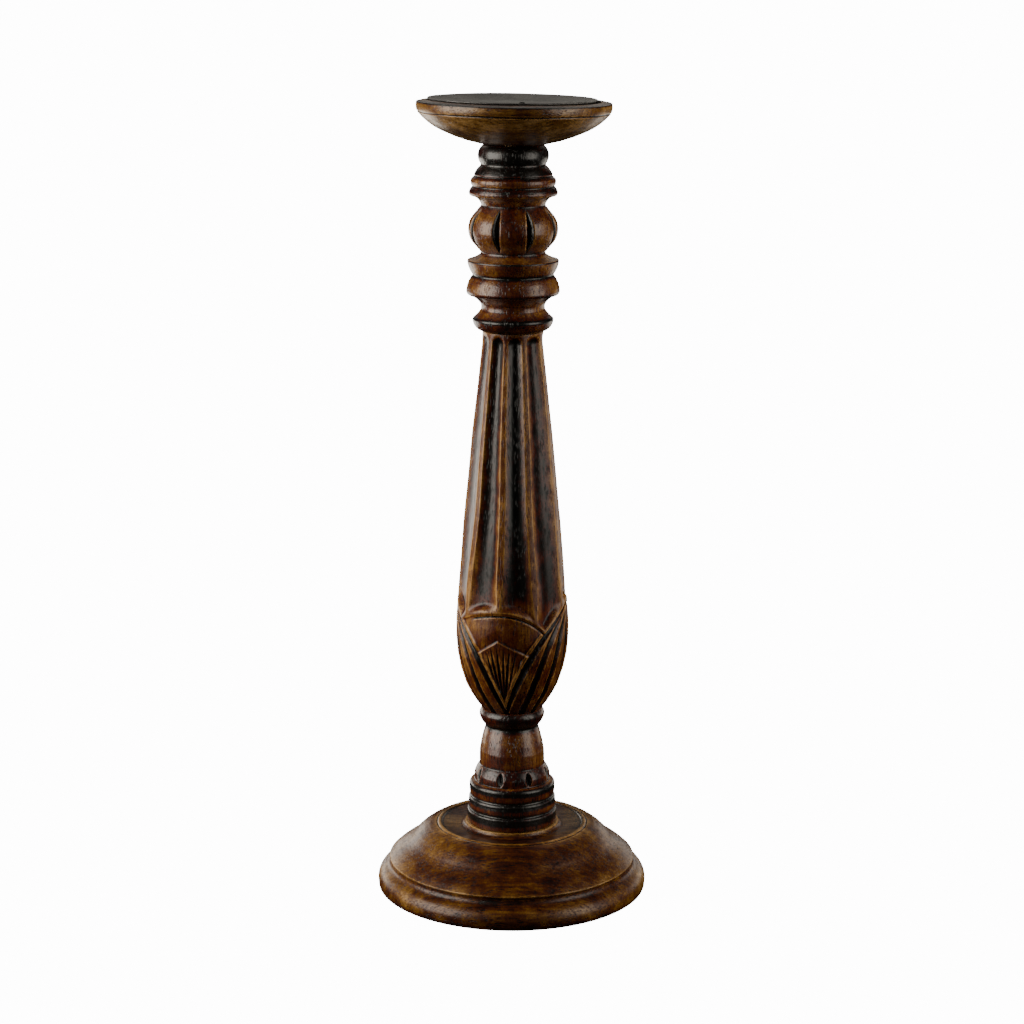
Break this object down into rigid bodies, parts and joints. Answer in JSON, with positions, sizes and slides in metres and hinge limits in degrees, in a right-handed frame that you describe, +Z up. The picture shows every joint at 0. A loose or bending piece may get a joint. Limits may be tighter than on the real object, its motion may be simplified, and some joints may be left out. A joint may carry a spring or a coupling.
{
  "type": "wooden candlestick",
  "caption": "Tall turned and carved wooden pillar candlestick: round foot, ringed stem, fluted shaft with leaves, beaded capital, and a dish with a steel drip pan.",
  "frame": {"origin": "centre of the felt's underside, on the surface the candlestick stands on", "axes": "+Z up along the axis of the stem; -Y is the side seen in the picture, with the middle of a carved fan 10 degrees to its left"},
  "size_m": [0.1564, 0.1564, 0.4581],
  "materials": {
    "stem_wood": "dark antiqued lacquer, worn golden on the edges",
    "base_wood": "mottled dark antiqued lacquer",
    "dish_wood": "mottled dark antiqued lacquer",
    "dowel_wood": "bare beech",
    "pan_steel": "dark satin sheet steel",
    "dark_steel": "blackened steel",
    "zinc_steel": "zinc plated",
    "felt": "black wool felt"
  },
  "bodies": {
    "root": {"felt_pad": "felt", "base": "base_wood", "base_washer": "zinc_steel", "base_screw": "zinc_steel", "lower_stem": "stem_wood", "shaft_dowel": "dowel_wood", "fluted_shaft": "stem_wood", "capital_dowel": "dowel_wood", "capital": "stem_wood", "dish_dowel": "dowel_wood", "candle_dish": "dish_wood", "drip_pan": "pan_steel", "pan_screw": "dark_steel"}
  },
  "joints": []
}
